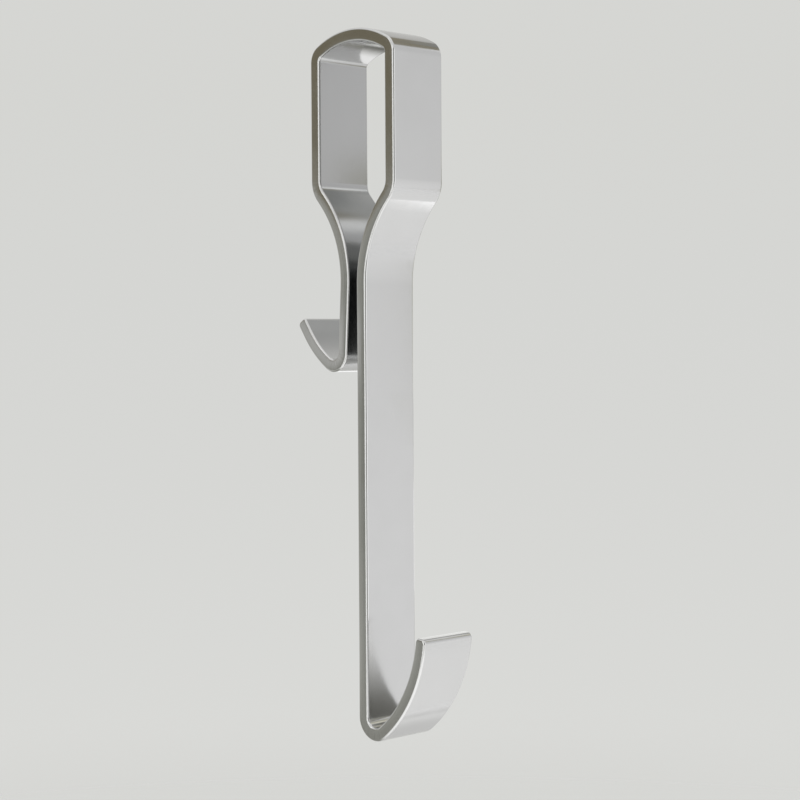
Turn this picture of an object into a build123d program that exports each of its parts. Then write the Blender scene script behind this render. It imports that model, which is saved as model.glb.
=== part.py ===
# Shower screen hook: one flat bar bent into a saddle that sits over the top rail of a screen,
# with a long shank and a big hook in front and a short shank and a small hook behind.
# Millimetres, +Z up, +X along the rail, -Y to the front.
# The origin is the rail seat, under the middle of the arched bridge.

import os
from math import acos, atan2, degrees, hypot, radians, sin

from build123d import *

# The bar
bar_width = 20.0
bar_thickness = 3.8
edge_radius = 0.65
end_corner_radius = 1.3

# Bridge over the rail, a shallow arch with a tight corner at each end
rail_gap = 27.3
arch_slope = 28.5
corner_inside_radius = 1.6

# Legs beside the rail, then the double bend that brings both sides in to the glass
front_leg = 35.8
back_leg = 34.7
knee_inside_radius = 5.1
knee_slant = 2.6
waist_radius = 35.0
glass_gap = 3.1

# Front shank and big hook
front_shank = 125.9
big_bend_inside_radius = 2.8
big_bend_angle = 127.5
big_arm_radius = 40.5
big_arm_angle = 45.0
big_tip = 2.0

# Back shank, which carries on past upright, and small hook
back_overbend = 3.0
back_shank = 19.3
small_bend_inside_radius = 2.1
small_bend_angle = 120.5
small_arm_radius = 32.5
small_arm_angle = 22.5
small_tip = 4.6

# Sizes of the bar's centre line that follow from these
half_thickness = bar_thickness / 2
leg_offset = rail_gap / 2 + half_thickness
shank_offset = glass_gap / 2 + half_thickness
corner_radius = corner_inside_radius + half_thickness
corner_turn = 90 - arch_slope
arch_radius = corner_radius + (leg_offset - corner_radius) / sin(radians(arch_slope))
knee_radius = knee_inside_radius + half_thickness

# Angle at which the knee, its slant and the waist together carry a leg in to its shank
double_bend_radius = knee_radius + waist_radius
double_bend_rise = (double_bend_radius - leg_offset + shank_offset) / hypot(double_bend_radius, knee_slant)
knee_angle = degrees(acos(double_bend_rise) - atan2(knee_slant, double_bend_radius))


def straight(before, length):
    return Line(before @ 1, before @ 1 + (before % 1) * length)


def bend(before, radius, angle):
    return JernArc(before @ 1, before % 1, radius, angle)


def saddle_side(corner, leg, waist_turn, side):
    """Leg, knee, slant and waist of one side: side is 1 in front and -1 behind."""
    upright = straight(corner, leg)
    knee = bend(upright, knee_radius, side * knee_angle)
    slant = straight(knee, knee_slant)
    return bend(slant, waist_radius, -side * waist_turn)


def hook_end(shank, inside_radius, bend_angle, arm_radius, arm_angle, tip, side):
    """Tight bend, curved arm and straight tip at the foot of a shank."""
    foot = bend(shank, inside_radius + half_thickness, -side * bend_angle)
    arm = bend(foot, arm_radius, -side * arm_angle)
    return straight(arm, tip)


# Centre line of the bar in its side view, with the front to the left and the rail seat at the origin
with BuildLine() as centre_line:
    arch_centre = (0, half_thickness - arch_radius)
    arch = CenterArc(arch_centre, arch_radius, 90 - arch_slope, 2 * arch_slope)

    front_corner = bend(arch, corner_radius, corner_turn)
    front_waist = saddle_side(front_corner, front_leg, knee_angle, 1)
    front_run = straight(front_waist, front_shank)
    big_end = hook_end(front_run, big_bend_inside_radius, big_bend_angle,
                       big_arm_radius, big_arm_angle, big_tip, 1)

    back_corner = JernArc(arch @ 0, (arch % 0) * -1, corner_radius, -corner_turn)
    back_waist = saddle_side(back_corner, back_leg, knee_angle + back_overbend, -1)
    back_run = straight(back_waist, back_shank)
    small_end = hook_end(back_run, small_bend_inside_radius, small_bend_angle,
                         small_arm_radius, small_arm_angle, small_tip, -1)

# Side view of the bar: its thickness about the centre line, with the corners of both ends rounded
side_view = trace(centre_line.wire(), line_width=bar_thickness)
end_corners = ShapeList()
for end in (big_end, small_end):
    end_corners += side_view.vertices().sort_by_distance(end @ 1)[:2]
side_view = fillet(end_corners, end_corner_radius)

# The bar at its full width, turned upright across the rail, with the edges of both sides rounded
bar = Plane.YZ * extrude(side_view, amount=bar_width / 2, both=True)
sides = bar.faces().filter_by(Axis.X)
bar = fillet(sides.edges(), edge_radius)

os.makedirs("parts", exist_ok=True)
export_step(bar, "parts/hook_bar.step")
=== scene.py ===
import math
import bmesh
import bpy
from mathutils import Matrix, Vector


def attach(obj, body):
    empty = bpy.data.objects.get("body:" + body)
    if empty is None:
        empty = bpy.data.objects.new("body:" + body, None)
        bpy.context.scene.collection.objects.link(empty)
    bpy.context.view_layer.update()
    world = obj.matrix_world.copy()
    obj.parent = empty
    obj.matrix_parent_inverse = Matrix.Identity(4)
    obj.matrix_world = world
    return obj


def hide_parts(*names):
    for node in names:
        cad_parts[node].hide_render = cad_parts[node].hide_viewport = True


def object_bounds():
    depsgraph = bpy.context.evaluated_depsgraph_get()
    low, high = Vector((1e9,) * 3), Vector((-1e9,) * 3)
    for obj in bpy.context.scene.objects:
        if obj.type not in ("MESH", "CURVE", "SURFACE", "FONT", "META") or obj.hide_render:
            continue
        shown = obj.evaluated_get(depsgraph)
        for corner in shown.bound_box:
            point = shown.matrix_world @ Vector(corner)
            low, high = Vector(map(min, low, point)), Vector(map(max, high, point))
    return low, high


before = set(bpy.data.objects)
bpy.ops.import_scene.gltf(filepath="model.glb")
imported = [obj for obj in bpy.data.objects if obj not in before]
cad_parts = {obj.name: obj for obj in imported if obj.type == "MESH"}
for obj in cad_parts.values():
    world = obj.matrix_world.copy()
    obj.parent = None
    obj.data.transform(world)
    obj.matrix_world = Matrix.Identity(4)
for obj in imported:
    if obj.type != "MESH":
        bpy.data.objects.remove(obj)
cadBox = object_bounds()
hookMiddle = (Vector(cadBox[0]) + Vector(cadBox[1])) / 2
print("frame loaded", sorted(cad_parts))

# where the picture was taken from: angles in degrees, pixels in an 800 by 800 picture
viewpoint = dict(turn=44.98, dip=1.80, roll=0.34, focalPixels=1900.9, imagePixels=800,
                 seatPixel=(375.32, 44.86), seatDistance=0.55665, sensor=36.0)


def placeCamera(v):
    turn, dip, roll = (math.radians(v[k]) for k in ("turn", "dip", "roll"))
    ahead = Vector((math.sin(turn) * math.cos(dip), math.cos(turn) * math.cos(dip), -math.sin(dip)))
    level = Vector((math.cos(turn), -math.sin(turn), 0))
    below = ahead.cross(level)
    right = level * math.cos(roll) + below * math.sin(roll)
    down = below * math.cos(roll) - level * math.sin(roll)
    middle = v["imagePixels"] / 2
    sideways = (v["seatPixel"][0] - middle) / v["focalPixels"]
    drop = (v["seatPixel"][1] - middle) / v["focalPixels"]
    place = -(ahead + right * sideways + down * drop) * v["seatDistance"]  # the origin is under the bridge
    data = bpy.data.cameras.new("photoCamera")
    data.sensor_width = v["sensor"]
    data.lens = v["focalPixels"] / v["imagePixels"] * v["sensor"]
    camera = bpy.data.objects.new("photoCamera", data)
    bpy.context.scene.collection.objects.link(camera)
    axes = Matrix((right, -down, -ahead)).transposed()
    camera.matrix_world = Matrix.Translation(place) @ axes.to_4x4()
    bpy.context.scene.camera = camera
    return camera


camera = placeCamera(viewpoint)
print("camera", [round(c, 4) for c in camera.location])

# the bent bar, in metres and degrees: first the sizes of the solid, then what only the mesh has
bentBar = dict(width=0.020, thickness=0.0038, edgeRadius=0.00065, endCorner=0.0013,
               bridgeGap=0.0273, archSlope=28.5, cornerInside=0.0016,
               frontLeg=0.0358, backLeg=0.0347, kneeInside=0.0051, kneeSlant=0.0026,
               waist=0.035, slotGap=0.0031,
               frontShank=0.1259, bigBendInside=0.0028, bigBend=127.5,
               bigArm=0.0405, bigArmTurn=45.0, bigTip=0.002,
               backOverbend=3.0, backShank=0.0193, smallBendInside=0.0021, smallBend=120.5,
               smallArm=0.0325, smallArmTurn=22.5, smallTip=0.0046,
               sideCrown=3.0, kneeCrease=1.2, tightBend=0.006, bendBlur=4,
               slotFade=0.020, slotFoot=-0.100, slotFootFade=0.012, slotFilletFade=3,
               turnStep=2.0, runStep=0.004, filletSteps=8, endSteps=7, sideRows=6, faceColumns=8,
               weldDigits=6)


def followBar(heading, moves, b):
    # walks the centre line from the top of the bridge: a straight run has no turn
    y, z = 0.0, b["thickness"] / 2
    trail = [(y, z, heading)]
    for size, turn in moves:
        if turn == 0:
            steps = max(1, math.ceil(size / b["runStep"]))
            for _ in range(steps):
                y += math.cos(heading) * size / steps
                z += math.sin(heading) * size / steps
                trail.append((y, z, heading))
        else:
            side = math.copysign(1, turn)
            centreY = y - side * size * math.sin(heading)
            centreZ = z + side * size * math.cos(heading)
            steps = math.ceil(abs(turn) / b["turnStep"])
            start = heading
            for k in range(1, steps + 1):
                heading = start + math.radians(turn) * k / steps
                y = centreY + side * size * math.sin(heading)
                z = centreZ - side * size * math.cos(heading)
                trail.append((y, z, heading))
    return trail


def barTrail(b):
    half = b["thickness"] / 2
    legOffset, shankOffset = b["bridgeGap"] / 2 + half, b["slotGap"] / 2 + half
    corner, knee = b["cornerInside"] + half, b["kneeInside"] + half
    arch = corner + (legOffset - corner) / math.sin(math.radians(b["archSlope"]))
    both = knee + b["waist"]
    rise = (both - legOffset + shankOffset) / math.hypot(both, b["kneeSlant"])
    kneeTurn = math.degrees(math.acos(rise) - math.atan2(b["kneeSlant"], both))
    cornerTurn = 90 - b["archSlope"]
    # the knee is bent a hair past its slope and eases back along it
    crease = b["kneeCrease"]
    slant = (b["kneeSlant"] + (b["waist"] - knee) * math.radians(crease)) / math.radians(2 * crease)
    front = [(arch, b["archSlope"]), (corner, cornerTurn), (b["frontLeg"], 0),
             (knee, kneeTurn + crease), (slant, -2 * crease), (b["waist"], crease - kneeTurn),
             (b["frontShank"], 0), (b["bigBendInside"] + half, -b["bigBend"]),
             (b["bigArm"], -b["bigArmTurn"]), (b["bigTip"] - b["endCorner"], 0)]
    back = [(arch, -b["archSlope"]), (corner, -cornerTurn), (b["backLeg"], 0),
            (knee, -kneeTurn - crease), (slant, 2 * crease),
            (b["waist"], kneeTurn - crease + b["backOverbend"]),
            (b["backShank"], 0), (b["smallBendInside"] + half, b["smallBend"]),
            (b["smallArm"], b["smallArmTurn"]), (b["smallTip"] - b["endCorner"], 0)]
    frontTrail = followBar(math.pi, front, b)
    backTrail = followBar(0.0, back, b)
    return [(y, z, h + math.pi) for y, z, h in reversed(backTrail)] + frontTrail[1:]


def bendShares(trail, b):
    # how hard the bar is bent at each point of its trail, blurred along it
    bends = [0.0]
    for one, two in zip(trail, trail[1:]):
        turned = abs(math.remainder(two[2] - one[2], math.tau))
        bends.append(min(1.0, turned / math.hypot(two[0] - one[0], two[1] - one[1]) * b["tightBend"]))
    for _ in range(b["bendBlur"]):
        before, after = bends[:1] + bends[:-1], bends[1:] + bends[-1:]
        bends = [(one + 2 * here + two) / 4 for one, here, two in zip(before, bends, after)]
    return bends


def endRows(y, z, h, sign, b):
    # rows round the corners of one end, with their length measured from the last point of the trail
    half, end = b["thickness"] / 2, b["endCorner"]
    out = Vector((math.sin(h), -math.cos(h)))
    along = Vector((math.cos(h), math.sin(h))) * sign
    middle = Vector((y, z))
    rows = []
    for k in range(1, b["endSteps"] + 1):
        a = math.pi / 2 * k / b["endSteps"]
        outerNormal = out * math.cos(a) + along * math.sin(a)
        innerNormal = along * math.sin(a) - out * math.cos(a)
        outer = middle + out * (half - end) + outerNormal * end
        inner = middle - out * (half - end) + innerNormal * end
        rows.append((outer, outerNormal, inner, innerNormal, math.cos(a), sign * end * math.sin(a)))
    return rows


def barRows(b):
    # each row: outer point and normal, inner point and normal, crown share, length along, bend share
    half = b["thickness"] / 2
    trail = barTrail(b)
    bends = bendShares(trail, b)
    rows, length = [], 0.0
    for k, (y, z, h) in enumerate(trail):
        if k:
            length += math.hypot(y - trail[k - 1][0], z - trail[k - 1][1])
        out = Vector((math.sin(h), -math.cos(h)))
        middle = Vector((y, z))
        rows.append((middle + out * half, out, middle - out * half, -out, 1.0, length, bends[k]))
    first = [r[:5] + (r[5], 0.0) for r in endRows(*trail[0], -1, b)]
    last = [r[:5] + (length + r[5], 0.0) for r in endRows(*trail[-1], 1, b)]
    return first[::-1] + rows + last


def slotShadeDepth(yz, normal, b):
    # 1 deep in the slot between the two sides, 0 on open faces: the colour is darkened there as painted
    # shade, and the roughness is raised
    facing = max(0.0, -math.copysign(1, yz.x) * normal.y)
    flat = max(0.0, 1 - b["slotFilletFade"] * abs(normal.x))
    near = math.exp(-max(0.0, abs(yz.x) - b["slotGap"] / 2) / b["slotFade"])
    above = max(0.0, min(1.0, (yz.y - b["slotFoot"]) / b["slotFootFade"]))
    return facing * flat * near * above


def buildBar(b):
    wide, half, r = b["width"] / 2, b["thickness"] / 2, b["edgeRadius"]
    crown = math.radians(b["sideCrown"])
    crownRadius = (half - r) / math.sin(crown) + r
    crownHeight = crownRadius * (1 - math.cos(crown))
    filletX = wide - crownHeight - r * math.cos(crown)
    rows = barRows(b)
    columns = b["sideRows"]

    # stations across the width: place, inset from the outline, share of its normal, share of sideways
    fillet = []
    for k in range(b["filletSteps"] + 1):
        a = crown + (math.pi / 2 - crown) * k / b["filletSteps"]
        fillet.append((-filletX - r * math.cos(a), r * (1 - math.sin(a)), math.sin(a), -math.cos(a)))
    flat = [(-filletX + 2 * filletX * k / b["faceColumns"], 0.0, 1.0, 0.0)
            for k in range(1, b["faceColumns"])]
    stations = fillet + flat + [(-x, inset, up, -across) for x, inset, up, across in reversed(fillet)]

    # the outline round both sides and both ends, as points in the side view
    shares = [1 - 2 * k / columns for k in range(1, columns)]
    outline = [(row[0], row[1], 1.0, row) for row in rows]
    outline += [(None, rows[-1][1], s, rows[-1]) for s in shares]
    outline += [(row[2], row[3], -1.0, row) for row in reversed(rows)]
    outline += [(None, rows[0][1], -s, rows[0]) for s in shares]

    spots, normals, places, states, index = [], [], [], [], {}

    def spot(x, yz, normal, share, row):
        # one point of the mesh, shared by all that meet there
        key = tuple(round(c, b["weldDigits"]) for c in (x, yz.x, yz.y))
        if key not in index:
            index[key] = len(spots)
            normal = normal.normalized()
            spots.append((x, yz.x, yz.y))
            normals.append(normal)
            places.append((row[5], share * half, abs(normal.x)))
            states.append((row[6], slotShadeDepth(yz, normal, b), 0.0))
        return index[key]

    def acrossPoint(row, share, inset):
        outer, inner = row[0] - row[1] * inset, row[2] - row[3] * inset
        return (outer + inner) / 2 + (outer - inner) / 2 * share

    faces = []
    loops = []
    for x, inset, up, across in stations:
        loop = []
        for point, n, share, row in outline:
            yz = acrossPoint(row, share, inset) if point is None else point - n * inset
            loop.append(spot(x, yz, Vector((across, n.x * up, n.y * up)), share, row))
        loops.append(loop)
    for one, two in zip(loops, loops[1:]):
        for k in range(len(one)):
            m = (k + 1) % len(one)
            faces.append((one[k], one[m], two[m], two[k]))

    # the two narrow sides, very slightly crowned as rolled bar is
    inset = stations[0][1]
    for side in (-1, 1):
        grid = []
        for row in rows:
            line = []
            for k in range(columns + 1):
                share = 1 - 2 * k / columns
                tilt = math.asin(max(-1, min(1, share * math.sin(crown))))
                rise = crownRadius * (math.cos(tilt) - math.cos(crown)) * row[4]
                lean = (row[1] if share > 0 else row[3]) * abs(math.sin(tilt))
                normal = Vector((side * math.cos(tilt), lean.x, lean.y))
                yz = acrossPoint(row, share, inset)
                line.append(spot(side * (wide - crownHeight + rise), yz, normal, share, row))
            grid.append(line)
        for one, two in zip(grid, grid[1:]):
            for k in range(columns):
                faces.append((one[k], one[k + 1], two[k + 1], two[k]))

    mesh = bpy.data.meshes.new("hookBar")
    mesh.from_pydata(spots, [], faces)
    work = bmesh.new()
    work.from_mesh(mesh)
    bmesh.ops.recalc_face_normals(work, faces=work.faces)
    openEdges = sum(1 for e in work.edges if not e.is_manifold)
    work.to_mesh(mesh)
    work.free()
    mesh.shade_smooth()
    mesh.normals_split_custom_set_from_vertices([tuple(n) for n in normals])
    for name, values in (("barPlace", places), ("barState", states)):
        layer = mesh.attributes.new(name, "FLOAT_VECTOR", "POINT")
        layer.data.foreach_set("vector", [v for value in values for v in value])
    bar = bpy.data.objects.new("hookBar", mesh)
    bpy.context.scene.collection.objects.link(bar)
    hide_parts("hook_bar")
    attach(bar, "root")
    print("bar", len(spots), "points", len(faces), "faces", openEdges, "open edges")
    print("bar length", round(rows[-1][5], 4))
    return bar


bar = buildBar(bentBar)

# polished chrome: pale and neutral, darker in the slot as painted shade and rougher there, with drawn lines
# on the narrow sides that turn into fine cross marks where the bar is bent hard
chrome = dict(tintLow=(0.678, 0.678, 0.677), tintHigh=(0.692, 0.692, 0.692),
              # the slot colour is painted shade, darker where the two sides of the bar face each other
              slotShadeTint=(0.365, 0.37, 0.37), lineTint=(0.54, 0.54, 0.52),
              roughLow=0.125, roughHigh=0.165, slotRough=0.06, lineRough=0.08,
              cloudScale=110.0, cloudDetail=3.0, cloudRange=(0.3, 0.7),
              peelScale=420.0, peelDetail=1.0, peelHeight=0.000008,
              lineScale=2600.0, lineDetail=4.0, lineStretch=(0.012, 1.0, 0.0),
              crossScale=1500.0, crossDetail=3.0, crossStretch=(1.0, 0.10, 0.0),
              bendRange=(0.25, 0.8), streakRange=(0.45, 0.75), sideRange=(0.6, 0.98),
              lineShare=0.7, lineHeight=0.000006)


def put(tree, kind, settings=None, **inputs):
    # one node, its settings, and its inputs by name or _number: a value is set, a socket is linked
    node = tree.nodes.new("ShaderNode" + kind)
    for key, value in (settings or {}).items():
        setattr(node, key, value)
    for key, value in inputs.items():
        socket = node.inputs[int(key[1:])] if key[1:].isdigit() else node.inputs[key.replace("_", " ")]
        if isinstance(value, bpy.types.NodeSocket):
            tree.links.new(value, socket)
        else:
            socket.default_value = value
    return node


def tintMix(tree, share, one, two):
    mix = tree.nodes.new("ShaderNodeMix")
    mix.data_type = "RGBA"
    for socket, value in ((mix.inputs["Factor"], share), (mix.inputs["A"], one), (mix.inputs["B"], two)):
        if isinstance(value, bpy.types.NodeSocket):
            tree.links.new(value, socket)
        else:
            socket.default_value = (*value, 1) if isinstance(value, tuple) else value
    return mix.outputs["Result"]


def spread(tree, value, limits, low=0.0, high=1.0):
    # brings a value between two limits to low and high
    return put(tree, "MapRange", Value=value, From_Min=limits[0], From_Max=limits[1],
               To_Min=low, To_Max=high).outputs["Result"]


def addOn(tree, share, amount, value):
    return put(tree, "Math", dict(operation="MULTIPLY_ADD"), _0=share, _1=amount, _2=value).outputs[0]


def makeChrome(c):
    material = bpy.data.materials.new("polishedChrome")
    material.use_nodes = True
    tree = material.node_tree
    shader = tree.nodes["Principled BSDF"]
    where = put(tree, "TexCoord").outputs["Object"]
    place = put(tree, "Attribute", dict(attribute_name="barPlace")).outputs["Vector"]
    state = put(tree, "Attribute", dict(attribute_name="barState")).outputs["Vector"]
    state = put(tree, "SeparateXYZ", Vector=state)
    side = put(tree, "SeparateXYZ", Vector=place).outputs["Z"]
    bend, slot = state.outputs["X"], state.outputs["Y"]

    # soft clouds and the faint waviness of the plating
    cloud = put(tree, "TexNoise", Vector=where, Scale=c["cloudScale"], Detail=c["cloudDetail"]).outputs["Fac"]
    peel = put(tree, "TexNoise", Vector=where, Scale=c["peelScale"], Detail=c["peelDetail"]).outputs["Fac"]

    # lines along the bar, and marks across it at hard bends
    drawn = put(tree, "Mapping", Vector=place, Scale=c["lineStretch"]).outputs["Vector"]
    across = put(tree, "Mapping", Vector=place, Scale=c["crossStretch"]).outputs["Vector"]
    lines = put(tree, "TexNoise", Vector=drawn, Scale=c["lineScale"], Detail=c["lineDetail"]).outputs["Fac"]
    marks = put(tree, "TexNoise", Vector=across, Scale=c["crossScale"],
                Detail=c["crossDetail"]).outputs["Fac"]
    streak = put(tree, "Mix", _0=spread(tree, bend, c["bendRange"]), _2=lines, _3=marks).outputs[0]
    streakPeak = spread(tree, streak, c["streakRange"])
    onSide = spread(tree, side, c["sideRange"], high=c["lineShare"])
    streakShare = put(tree, "Math", dict(operation="MULTIPLY"), _0=streakPeak, _1=onSide).outputs[0]

    tint = tintMix(tree, spread(tree, cloud, c["cloudRange"]), c["tintLow"], c["tintHigh"])
    # painted shade: the colour goes darker deep in the slot between the two sides
    tint = tintMix(tree, slot, tint, c["slotShadeTint"])
    tint = tintMix(tree, streakShare, tint, c["lineTint"])
    tree.links.new(tint, shader.inputs["Base Color"])

    rough = spread(tree, cloud, c["cloudRange"], c["roughLow"], c["roughHigh"])
    rough = addOn(tree, slot, c["slotRough"], rough)
    rough = addOn(tree, streakShare, c["lineRough"], rough)
    tree.links.new(rough, shader.inputs["Roughness"])
    shader.inputs["Metallic"].default_value = 1

    wavy = put(tree, "Bump", Strength=1.0, Distance=c["peelHeight"], Height=peel).outputs["Normal"]
    lined = put(tree, "Bump", Strength=1.0, Distance=c["lineHeight"], Height=streakShare, Normal=wavy)
    tree.links.new(lined.outputs["Normal"], shader.inputs["Normal"])
    return material


bar.data.materials.append(makeChrome(chrome))
print("chrome", len(bar.data.materials[0].node_tree.nodes), "nodes")

# pale studio: the backdrop is what shows behind the hook, the light side is what its front faces
# look at; both run by height, from -1 straight down to 1 straight up
studio = dict(lightSide=(0.6, -0.8, 0.0), fadeFrom=0.05, fadeTo=0.85,
              backdrop=((-0.2, (0.695, 0.698, 0.678)), (-0.07, (0.675, 0.678, 0.660)),
                        (0.02, (0.668, 0.672, 0.654)), (0.13, (0.665, 0.668, 0.646)),
                        (0.5, (0.70, 0.70, 0.69)), (1.0, (0.95, 0.95, 0.94))),
              front=((-0.25, 0.90), (-0.14, 0.872), (-0.06, 0.853), (0.02, 0.825), (0.087, 0.775),
                     (0.13, 0.735), (0.25, 0.70), (0.5, 0.67), (0.75, 0.80), (1.0, 0.95)),
              floorHeight=-0.42, floorRadius=1.3, floorCorners=96, paperRough=0.9,
              # the floor's two colours are painted light and shade: pale on the light side, grey on the
              # backdrop side
              floorLitSide=(0.93, 0.93, 0.93), floorShadedSide=(0.69, 0.692, 0.675),
              fadeNear=0.45, fadeFar=1.15)


def addRamp(nodes, stops):
    ramp = nodes.new("ShaderNodeValToRGB")
    elements = ramp.color_ramp.elements
    for k, (height, colour) in enumerate(stops):
        element = elements[k] if k < 2 else elements.new(1.0)  # a new ramp has two stops
        element.position = (height + 1) / 2
        element.color = (*colour, 1) if isinstance(colour, tuple) else (colour, colour, colour, 1)
    return ramp


def addSideShare(tree, way, p):
    # share of the light side in a direction, from 0 at the backdrop to 1
    turn = put(tree, "VectorMath", dict(operation="DOT_PRODUCT"), _0=way, _1=p["lightSide"]).outputs["Value"]
    return put(tree, "MapRange", dict(interpolation_type="SMOOTHSTEP"), Value=turn,
               From_Min=p["fadeFrom"], From_Max=p["fadeTo"]).outputs["Result"]


def makeWorld(p):
    world = bpy.data.worlds.new("paleRoom")
    bpy.context.scene.world = world
    world.use_nodes = True
    tree = world.node_tree
    way = put(tree, "TexCoord").outputs["Generated"]
    up = put(tree, "SeparateXYZ", Vector=way).outputs["Z"]
    height = spread(tree, up, (-1.0, 1.0))
    backRamp, frontRamp = addRamp(tree.nodes, p["backdrop"]), addRamp(tree.nodes, p["front"])
    for ramp in (backRamp, frontRamp):
        tree.links.new(height, ramp.inputs["Fac"])
    sky = tintMix(tree, addSideShare(tree, way, p), backRamp.outputs["Color"], frontRamp.outputs["Color"])
    tree.links.new(sky, tree.nodes["Background"].inputs["Color"])


makeWorld(studio)
bpy.context.scene.view_settings.view_transform = "Standard"
print("world", bpy.context.scene.world.name)


def makeFloor(p):
    # paper under the hook, paler toward the light side and greyer toward the backdrop side as painted light
    # and shade, fading into the backdrop at its rim
    bpy.ops.mesh.primitive_circle_add(vertices=p["floorCorners"], radius=p["floorRadius"],
                                      fill_type="NGON", location=(0, 0, p["floorHeight"]))
    floor = bpy.context.object
    floor.name = "paleFloor"
    material = bpy.data.materials.new("floorPaper")
    material.use_nodes = True
    tree = material.node_tree
    paper = tree.nodes["Principled BSDF"]
    paper.inputs["Roughness"].default_value = p["paperRough"]
    paper.inputs["Specular IOR Level"].default_value = 0
    where = put(tree, "TexCoord").outputs["Object"]
    way = put(tree, "VectorMath", dict(operation="NORMALIZE"), _0=where).outputs["Vector"]
    # painted light and shade: the paper's colour runs from grey on the backdrop side to pale on the light
    # side
    tint = tintMix(tree, addSideShare(tree, way, p), p["floorShadedSide"], p["floorLitSide"])
    tree.links.new(tint, paper.inputs["Base Color"])
    reach = put(tree, "VectorMath", dict(operation="LENGTH"), _0=where).outputs["Value"]
    fade = put(tree, "MapRange", dict(interpolation_type="SMOOTHSTEP"), Value=reach,
               From_Min=p["fadeNear"], From_Max=p["fadeFar"]).outputs["Result"]
    clear = put(tree, "BsdfTransparent").outputs["BSDF"]
    mix = put(tree, "MixShader", _0=fade, _1=paper.outputs["BSDF"], _2=clear)
    tree.links.new(mix.outputs["Shader"], tree.nodes["Material Output"].inputs["Surface"])
    floor.data.materials.append(material)
    return floor


makeFloor(studio)
print("floor at", studio["floorHeight"])

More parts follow.
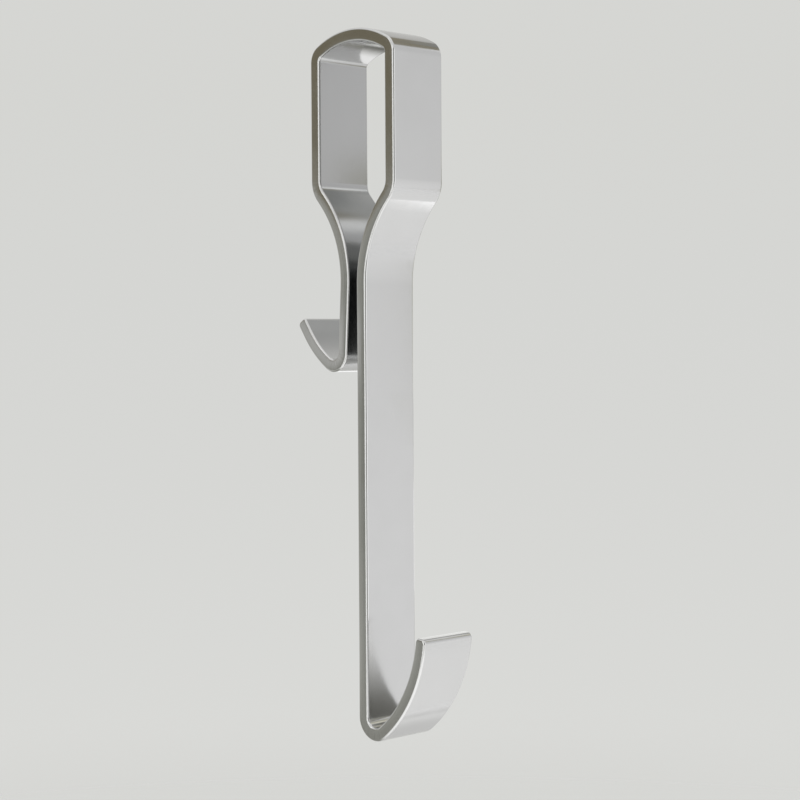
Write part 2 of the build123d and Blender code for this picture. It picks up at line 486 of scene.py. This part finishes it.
# studio cards that only the metal sees, in degrees as seen from the point they hang about, or else
# from the middle of the hook: turn is 0 in front and 90 to the right, tilt is 0 level, near is how far
# off, soft is the width of the faded edges; a card has one colour, or colours that run from one side
# to the other, or from the foot up where it is upright
cardGrid = dict(wide=24, tall=16)
cards = dict(
    # the left narrow sides and the edges beside them
    leftShade=dict(turn=(-160, -116), tilt=(-30, 8), near=1.0, soft=(4, 3),
                   colours=((0.50, 0.50, 0.46), (0.46, 0.46, 0.425), (0.32, 0.323, 0.29),
                            (0.20, 0.202, 0.18), (0.15, 0.15, 0.135))),
    leftLowShade=dict(turn=(-160, -116), tilt=(-26, -8), near=0.97, soft=(4, 5),
                      colours=((0.62, 0.62, 0.58), (0.56, 0.56, 0.52), (0.41, 0.413, 0.38),
                               (0.28, 0.282, 0.255), (0.2, 0.2, 0.18))),
    leftTopShade=dict(turn=(-165, -116), tilt=(6.5, 24), near=0.98, soft=(5, 1.5),
                      colours=((0.22, 0.195, 0.135), (0.16, 0.142, 0.098))),
    leftFootShade=dict(turn=(-210, -120), tilt=(-78, -26), near=0.28, soft=(8, 6),
                       colours=((0.42, 0.42, 0.39), (0.28, 0.28, 0.25))),
    smallHookGlow=dict(about=(-0.01, 0.018, -0.088), turn=(-146, -127), tilt=(-8, 8), near=0.12,
                       soft=(6, 5), colour=(0.52, 0.52, 0.50)),
    leftGlow=dict(turn=(-120, -103), tilt=(-40, 40), near=1.05, soft=(3, 8), colour=(1.8, 1.8, 1.78)),
    leftFrontGlow=dict(turn=(-78, -57), tilt=(-40, 40), near=1.05, soft=(3, 8), colour=(1.8, 1.8, 1.78)),
    lensShade=dict(turn=(-56, -8), tilt=(-17, 30), near=1.1, soft=(3, 4), colour=(0.2, 0.2, 0.19)),
    # the right edges, the front edges and the outside of the big hook
    rightShade=dict(turn=(72, 118), tilt=(-26, 10), near=1.08, soft=(8, 6), colour=(0.58, 0.58, 0.57)),
    frontGlow=dict(turn=(7, 26), tilt=(-20, 30), near=1.05, soft=(3, 6),
                   colours=((1.75, 1.75, 1.75), (1.5, 1.5, 1.5))),
    footGlow=dict(about=(0, -0.02, -0.19), turn=(-118, 26), tilt=(-82, -18), near=0.22, soft=(4, 4),
                  colour=(1.25, 1.25, 1.24)),
    armShade=dict(about=(0, -0.019, -0.195), turn=(86, 126), tilt=(-62, -28), near=0.22, soft=(3, 6),
                  colours=((0.98, 0.98, 0.975), (0.99, 0.99, 0.985), (0.66, 0.66, 0.65), (0.95, 0.95, 0.94),
                           (0.81, 0.81, 0.80), (0.74, 0.74, 0.73), (0.70, 0.70, 0.69), (0.69, 0.69, 0.68),
                           (0.68, 0.68, 0.67), (0.68, 0.68, 0.67), (0.68, 0.68, 0.67))),
    # the top of the bridge
    highShade=dict(about=(0, -0.014, 0.002), turn=(57, 112), tilt=(34, 54), near=1.0, soft=(2, 1.5),
                   colours=((0.27, 0.25, 0.195), (0.29, 0.265, 0.20))),
    backTopShade=dict(about=(0, -0.010, 0.003), turn=(106, 142), tilt=(14, 48), near=1.02, soft=(6, 6),
                      colours=((0.48, 0.47, 0.45), (0.62, 0.62, 0.60))),
    # the inside of the back strip and of the small hook
    backStripShade=dict(about=(0, 0.012, -0.055), turn=(67, 100), tilt=(34, 56), near=0.22, soft=(3, 5),
                        colours=((0.28, 0.29, 0.29), (0.31, 0.32, 0.32))),
    stripGlow=dict(about=(0, 0.012, -0.055), turn=(51, 65), tilt=(32, 44), near=0.22, soft=(3, 3),
                   colour=(1.2, 1.21, 1.2)),
    smallHookShade=dict(about=(0, 0.016, -0.085), turn=(58, 128), tilt=(26, 62), near=0.12, soft=(6, 5),
                        colours=((0.50, 0.505, 0.495), (0.475, 0.48, 0.47), (0.57, 0.57, 0.555),
                                 (0.66, 0.66, 0.64), (0.66, 0.66, 0.64))),
    # the inside of the big hook, its end and the front knee
    hookShade=dict(about=(0, -0.022, -0.185), turn=(76, 146), tilt=(21, 54), near=0.2, soft=(4, 4),
                   upright=True, colours=((1.08, 1.08, 1.06), (0.60, 0.60, 0.58), (0.175, 0.173, 0.152),
                                          (0.02, 0.018, 0.01))),
    armGlow=dict(about=(0, -0.022, -0.185), turn=(110, 150), tilt=(-4, 32), near=0.21, soft=(6, 4),
                 upright=True, colours=((1.28, 1.28, 1.27), (1.28, 1.28, 1.27), (1.25, 1.25, 1.24),
                                        (1.0, 1.0, 0.98), (0.60, 0.60, 0.58))),
    hookGlow=dict(about=(0, -0.012, -0.195), turn=(50, 80), tilt=(22, 58), near=0.21, soft=(3, 6),
                  colours=((0.36, 0.35, 0.29), (0.44, 0.43, 0.36), (0.66, 0.64, 0.54),
                           (0.96, 0.94, 0.81), (1.12, 1.09, 0.94))),
    tipGlow=dict(about=(0, -0.0276, -0.171), turn=(64, 120), tilt=(37, 58), near=0.08, soft=(3, 2),
                 colours=((0.82, 0.82, 0.81), (0.80, 0.80, 0.79), (0.58, 0.58, 0.57), (0.48, 0.48, 0.47))),
    kneeGlow=dict(about=(0, -0.017, -0.048), turn=(79.2, 100), tilt=(-56, -36), near=0.15, soft=(0.5, 1),
                  colour=(1.45, 1.45, 1.45)),
)


def hangCard(name, c, grid):
    wide, tall = grid["wide"], grid["tall"]
    colours = c.get("colours") or (c["colour"], c["colour"])
    spots, faces, tints = [], [], []
    for j in range(tall + 1):
        tilt = c["tilt"][0] + (c["tilt"][1] - c["tilt"][0]) * j / tall
        for i in range(wide + 1):
            turn = c["turn"][0] + (c["turn"][1] - c["turn"][0]) * i / wide
            a, e = math.radians(turn), math.radians(tilt)
            way = Vector((math.sin(a) * math.cos(e), -math.cos(a) * math.cos(e), math.sin(e)))
            spots.append(Vector(c.get("about", hookMiddle)) + way * c["near"])
            edge = min(min(turn - c["turn"][0], c["turn"][1] - turn) / c["soft"][0],
                       min(tilt - c["tilt"][0], c["tilt"][1] - tilt) / c["soft"][1], 1)
            share = (j / tall if c.get("upright") else i / wide) * (len(colours) - 1)
            step = min(int(share), len(colours) - 2)
            tint = [one + (two - one) * (share - step) for one, two in zip(*colours[step:step + 2])]
            tints += [*tint, max(0.0, edge)]
    for j in range(tall):
        for i in range(wide):
            k = j * (wide + 1) + i
            faces.append((k, k + 1, k + wide + 2, k + wide + 1))
    mesh = bpy.data.meshes.new(name)
    mesh.from_pydata(spots, [], faces)
    shade = mesh.color_attributes.new("shade", "FLOAT_COLOR", "POINT")
    shade.data.foreach_set("color", tints)
    material = bpy.data.materials.new(name)
    material.use_nodes = True
    tree = material.node_tree
    tree.nodes.remove(tree.nodes["Principled BSDF"])
    paint = put(tree, "VertexColor", dict(layer_name="shade"))
    glow = put(tree, "Emission", Color=paint.outputs["Color"]).outputs["Emission"]
    clear = put(tree, "BsdfTransparent").outputs["BSDF"]
    mix = put(tree, "MixShader", _0=paint.outputs["Alpha"], _1=clear, _2=glow)
    tree.links.new(mix.outputs["Shader"], tree.nodes["Material Output"].inputs["Surface"])
    mesh.materials.append(material)
    card = bpy.data.objects.new(name, mesh)
    bpy.context.scene.collection.objects.link(card)
    card.visible_camera = card.visible_diffuse = card.visible_shadow = card.visible_transmission = False
    return card


for name, card in cards.items():
    hangCard(name, card, cardGrid)
print("cards", ", ".join(cards))

lamp = dict(place=(-0.7, -0.9, 1.3), size=1.6, power=14.0)


def hangLamp(p):
    data = bpy.data.lights.new("softLamp", "AREA")
    data.size = p["size"]
    data.energy = p["power"]
    light = bpy.data.objects.new("softLamp", data)
    bpy.context.scene.collection.objects.link(light)
    light.location = p["place"]
    light.rotation_euler = (hookMiddle - Vector(p["place"])).to_track_quat("-Z", "Y").to_euler()
    light.visible_camera = light.visible_glossy = False  # the metal shows the backdrop and the cards
    return light


hangLamp(lamp)
print("lamp", lamp["power"], "W")
